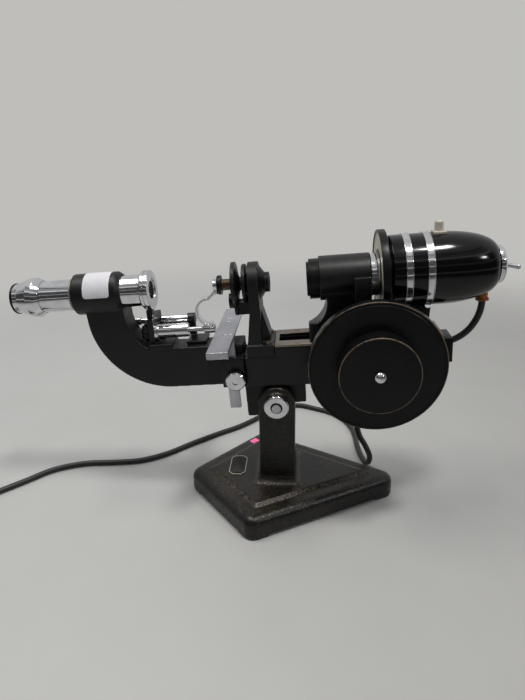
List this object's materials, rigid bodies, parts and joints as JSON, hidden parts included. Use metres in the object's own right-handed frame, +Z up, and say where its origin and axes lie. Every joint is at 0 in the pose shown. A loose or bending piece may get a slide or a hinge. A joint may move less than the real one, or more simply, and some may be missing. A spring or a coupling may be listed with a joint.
{
  "type": "lensometer",
  "caption": "Optical bench instrument on a tilting stand that measures the power of a spectacle lens held between its telescope and a sliding lamp-lit target.",
  "frame": {"origin": "centre of the footprint of the whole instrument without its mains lead, on the table", "axes": "+X from the eyepiece to the lamp along the table, +Y from the power drum side to the far side, +Z up"},
  "size_m": [0.6316, 0.3337, 0.2922],
  "materials": {
    "base_enamel": "coarse crinkle black enamel on cast iron, worn brown on its edges",
    "bench_enamel": "fine satin black enamel on a casting",
    "satin_black": "satin black enamel on turned metal",
    "chrome": "polished chrome plate",
    "oiled_steel": "machined steel with a brown oil film",
    "satin_alloy": "satin aluminium",
    "brass": "old brass",
    "bronze": "dark bronze",
    "bakelite": "polished black bakelite",
    "glass": "clear coated glass",
    "amber": "cream translucent plastic",
    "grommet": "aged brown rubber",
    "black_rubber": "black rubber",
    "plate": "etched blank plate with a raised border"
  },
  "bodies": {
    "stand": {"base_casting": "base_enamel", "nameplate": "plate", "pivot_bolt": "oiled_steel", "mains_cord": "black_rubber", "cord_coil": "black_rubber", "mains_plug": "bakelite"},
    "tilt_knob": {"pivot_knob": "chrome"},
    "bench": {"body_casting": "bench_enamel", "rail_plate": "oiled_steel", "body_screws": "oiled_steel", "standard": "bench_enamel", "standard_cell": "satin_black", "stop_flange": "satin_black", "stop_disc": "satin_black", "stop_nose": "bronze", "bench_lenses": "glass", "clamp_bracket": "satin_black", "clamp_barrel": "chrome", "clamp_spring": "oiled_steel", "marker_barrel": "chrome", "barrel_support": "satin_black", "telescope_tube": "chrome", "objective_ring": "chrome", "table_guide": "brass", "drum_bushes": "brass", "terminal_box": "satin_black", "lamp_cord": "black_rubber", "mains_gland": "black_rubber"},
    "stop_screw": {"stop_knob": "satin_black"},
    "lens_clamp": {"clamp_rod": "oiled_steel", "clamp_yoke": "chrome", "clamp_ring": "satin_black"},
    "spring_adjuster": {"clamp_adjuster": "satin_black"},
    "marker": {"marker_plunger": "chrome"},
    "focus": {"focus_ring": "chrome"},
    "eyepiece": {"eyepiece_tube": "chrome", "eye_guard": "bakelite", "eye_lens": "glass"},
    "table": {"lens_table": "satin_alloy", "table_bar": "oiled_steel"},
    "table_screw": {"table_knob": "chrome"},
    "drum": {"drum_disc": "satin_black", "drum_hub": "satin_black", "drum_nut": "chrome", "drum_shaft": "oiled_steel"},
    "carriage": {"carriage": "satin_black", "rack": "oiled_steel", "collimator_ring": "satin_black", "collimator_lens": "glass", "axis_index": "satin_black", "lamp_cradle": "satin_black", "lamp_house": "bakelite", "lamp_bands": "chrome", "lamp_end_ring": "chrome", "lamp_bulb": "satin_alloy", "lamp_grommet": "grommet"},
    "axis": {"target_spindle": "chrome", "axis_wheel": "satin_black"},
    "filter": {"filter_lever": "amber"},
    "switch": {"toggle_bat": "brass"}
  },
  "joints": [
    {"name": "bench_tilt", "type": "hinge", "parent": "stand", "child": "bench", "pos_m": [0.01919, 0, 0.118], "axis": [0, 1, 0], "range_deg": [-6, 40], "deforming": ["mains_cord"]},
    {"name": "tilt_knob_turn", "type": "hinge", "parent": "stand", "child": "tilt_knob", "pos_m": [0.01919, -0.03, 0.118], "axis": [0, -1, 0], "range_deg": [-30, 180]},
    {"name": "stop_screw_turn", "type": "hinge", "parent": "bench", "child": "stop_screw", "pos_m": [-0.02387, -0.003, 0.21764], "axis": [0.9976, 0, 0.0698], "range_deg": [-90, 90]},
    {"name": "lens_clamp_slide", "type": "slide", "parent": "bench", "child": "lens_clamp", "axis": [0.9976, 0, 0.0698], "range_m": [-0.013, 0], "stiffness_N_per_m": 180, "springref_m": 0.012, "deforming": ["clamp_spring"]},
    {"name": "spring_adjuster_turn", "type": "hinge", "parent": "bench", "child": "spring_adjuster", "pos_m": [-0.10974, 0, 0.18417], "axis": [0.9976, 0, 0.0698], "range_deg": [-120, 120]},
    {"name": "marker_push", "type": "slide", "parent": "bench", "child": "marker", "axis": [0.9976, 0, 0.0698], "range_m": [0, 0.008], "stiffness_N_per_m": 250, "springref_m": -0.002},
    {"name": "focus_turn", "type": "hinge", "parent": "bench", "child": "focus", "pos_m": [-0.22347, 0, 0.21932], "axis": [0.9976, 0, 0.0698], "range_deg": [-165, 165]},
    {"name": "eyepiece_slide", "type": "slide", "parent": "bench", "child": "eyepiece", "axis": [0.9976, 0, 0.0698], "range_m": [-0.003, 0.003]},
    {"name": "table_lift", "type": "slide", "parent": "bench", "child": "table", "axis": [-0.0698, 0, 0.9976], "range_m": [-0.006, 0.02]},
    {"name": "table_screw_turn", "type": "hinge", "parent": "bench", "child": "table_screw", "pos_m": [-0.01985, -0.028, 0.14585], "axis": [0, -1, 0], "range_deg": [-30, 180]},
    {"name": "drum_turn", "type": "hinge", "parent": "bench", "child": "drum", "pos_m": [0.11083, -0.04, 0.16932], "axis": [0, 1, 0], "range_deg": [-140, 140]},
    {"name": "carriage_slide", "type": "slide", "parent": "bench", "child": "carriage", "axis": [0.9976, 0, 0.0698], "range_m": [-0.0125, 0.0125], "deforming": ["lamp_cord"]},
    {"name": "axis_wheel_turn", "type": "hinge", "parent": "carriage", "child": "axis", "pos_m": [0.11271, 0, 0.24283], "axis": [0.9976, 0, 0.0698], "continuous": true},
    {"name": "filter_lift", "type": "slide", "parent": "carriage", "child": "filter", "axis": [-0.0698, 0, 0.9976], "range_m": [0, 0.01]},
    {"name": "switch_tip", "type": "hinge", "parent": "carriage", "child": "switch", "pos_m": [0.2218, 0, 0.25246], "axis": [0, 1, 0], "range_deg": [-22, 0]}
  ],
  "couplings": [
    {"joint": "eyepiece_slide", "follows": "focus_turn", "m_per_rad": 0.001},
    {"joint": "carriage_slide", "follows": "drum_turn", "m_per_rad": 0.005}
  ]
}
